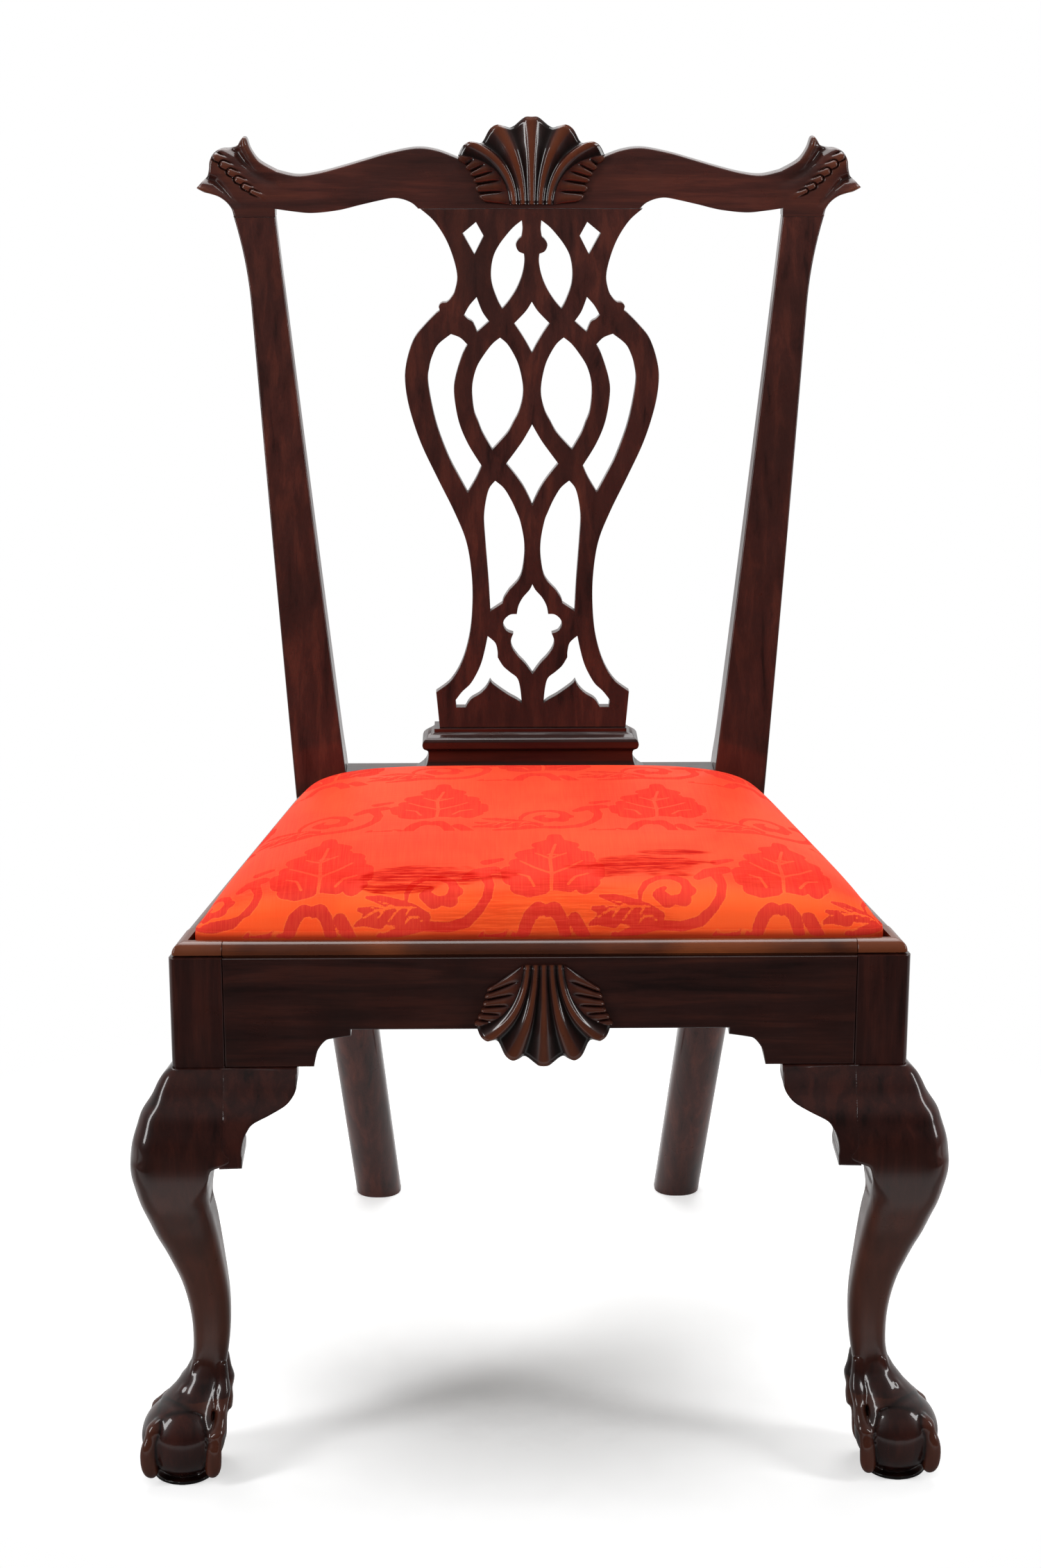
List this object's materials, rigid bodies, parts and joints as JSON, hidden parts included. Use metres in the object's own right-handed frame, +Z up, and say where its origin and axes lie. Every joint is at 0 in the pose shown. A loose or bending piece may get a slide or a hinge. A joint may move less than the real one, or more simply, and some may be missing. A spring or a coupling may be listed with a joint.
{
  "type": "side chair",
  "caption": "Carved side chair with a shell crest, pierced splat, cabriole front legs on ball-and-claw feet and a lift-out upholstered slip seat.",
  "frame": {"origin": "middle of the chair's bounding box, on the floor", "axes": "+Z up, -Y towards the front of the seat, +X to the right of a viewer who faces the chair"},
  "size_m": [0.627, 0.6026, 1.022],
  "materials": {
    "mahogany": "varnished, satin to gloss",
    "mahogany_unpolished": "matt",
    "pine": "matt",
    "linen": "coarse weave",
    "horsehair": "fibrous",
    "damask": "figured silk sheen"
  },
  "bodies": {
    "chair_frame": {"crest_rail": "mahogany", "splat": "mahogany", "shoe": "mahogany", "rear_post_left": "mahogany", "rear_post_right": "mahogany", "rear_seat_rail": "mahogany", "front_seat_rail": "mahogany", "seat_shell": "mahogany", "side_rail_left": "mahogany", "side_rail_right": "mahogany", "front_leg_left": "mahogany", "front_leg_right": "mahogany", "knee_bracket_front_left": "mahogany", "knee_bracket_front_right": "mahogany", "knee_bracket_side_left": "mahogany", "knee_bracket_side_right": "mahogany", "glue_block_front_left": "mahogany_unpolished", "glue_block_front_right": "mahogany_unpolished", "glue_block_rear_left": "mahogany_unpolished", "glue_block_rear_right": "mahogany_unpolished"},
    "slip_seat": {"seat_frame_front": "pine", "seat_frame_rear": "pine", "seat_frame_left": "pine", "seat_frame_right": "pine", "webbing_across_1": "linen", "webbing_across_2": "linen", "webbing_across_3": "linen", "webbing_along_1": "linen", "webbing_along_2": "linen", "webbing_along_3": "linen", "sackcloth": "linen", "stuffing": "horsehair", "seat_cover": "damask"}
  },
  "joints": [
    {"name": "seat_lift", "type": "slide", "parent": "chair_frame", "child": "slip_seat", "axis": [0, 0, 1], "range_m": [0, 0.12]}
  ]
}
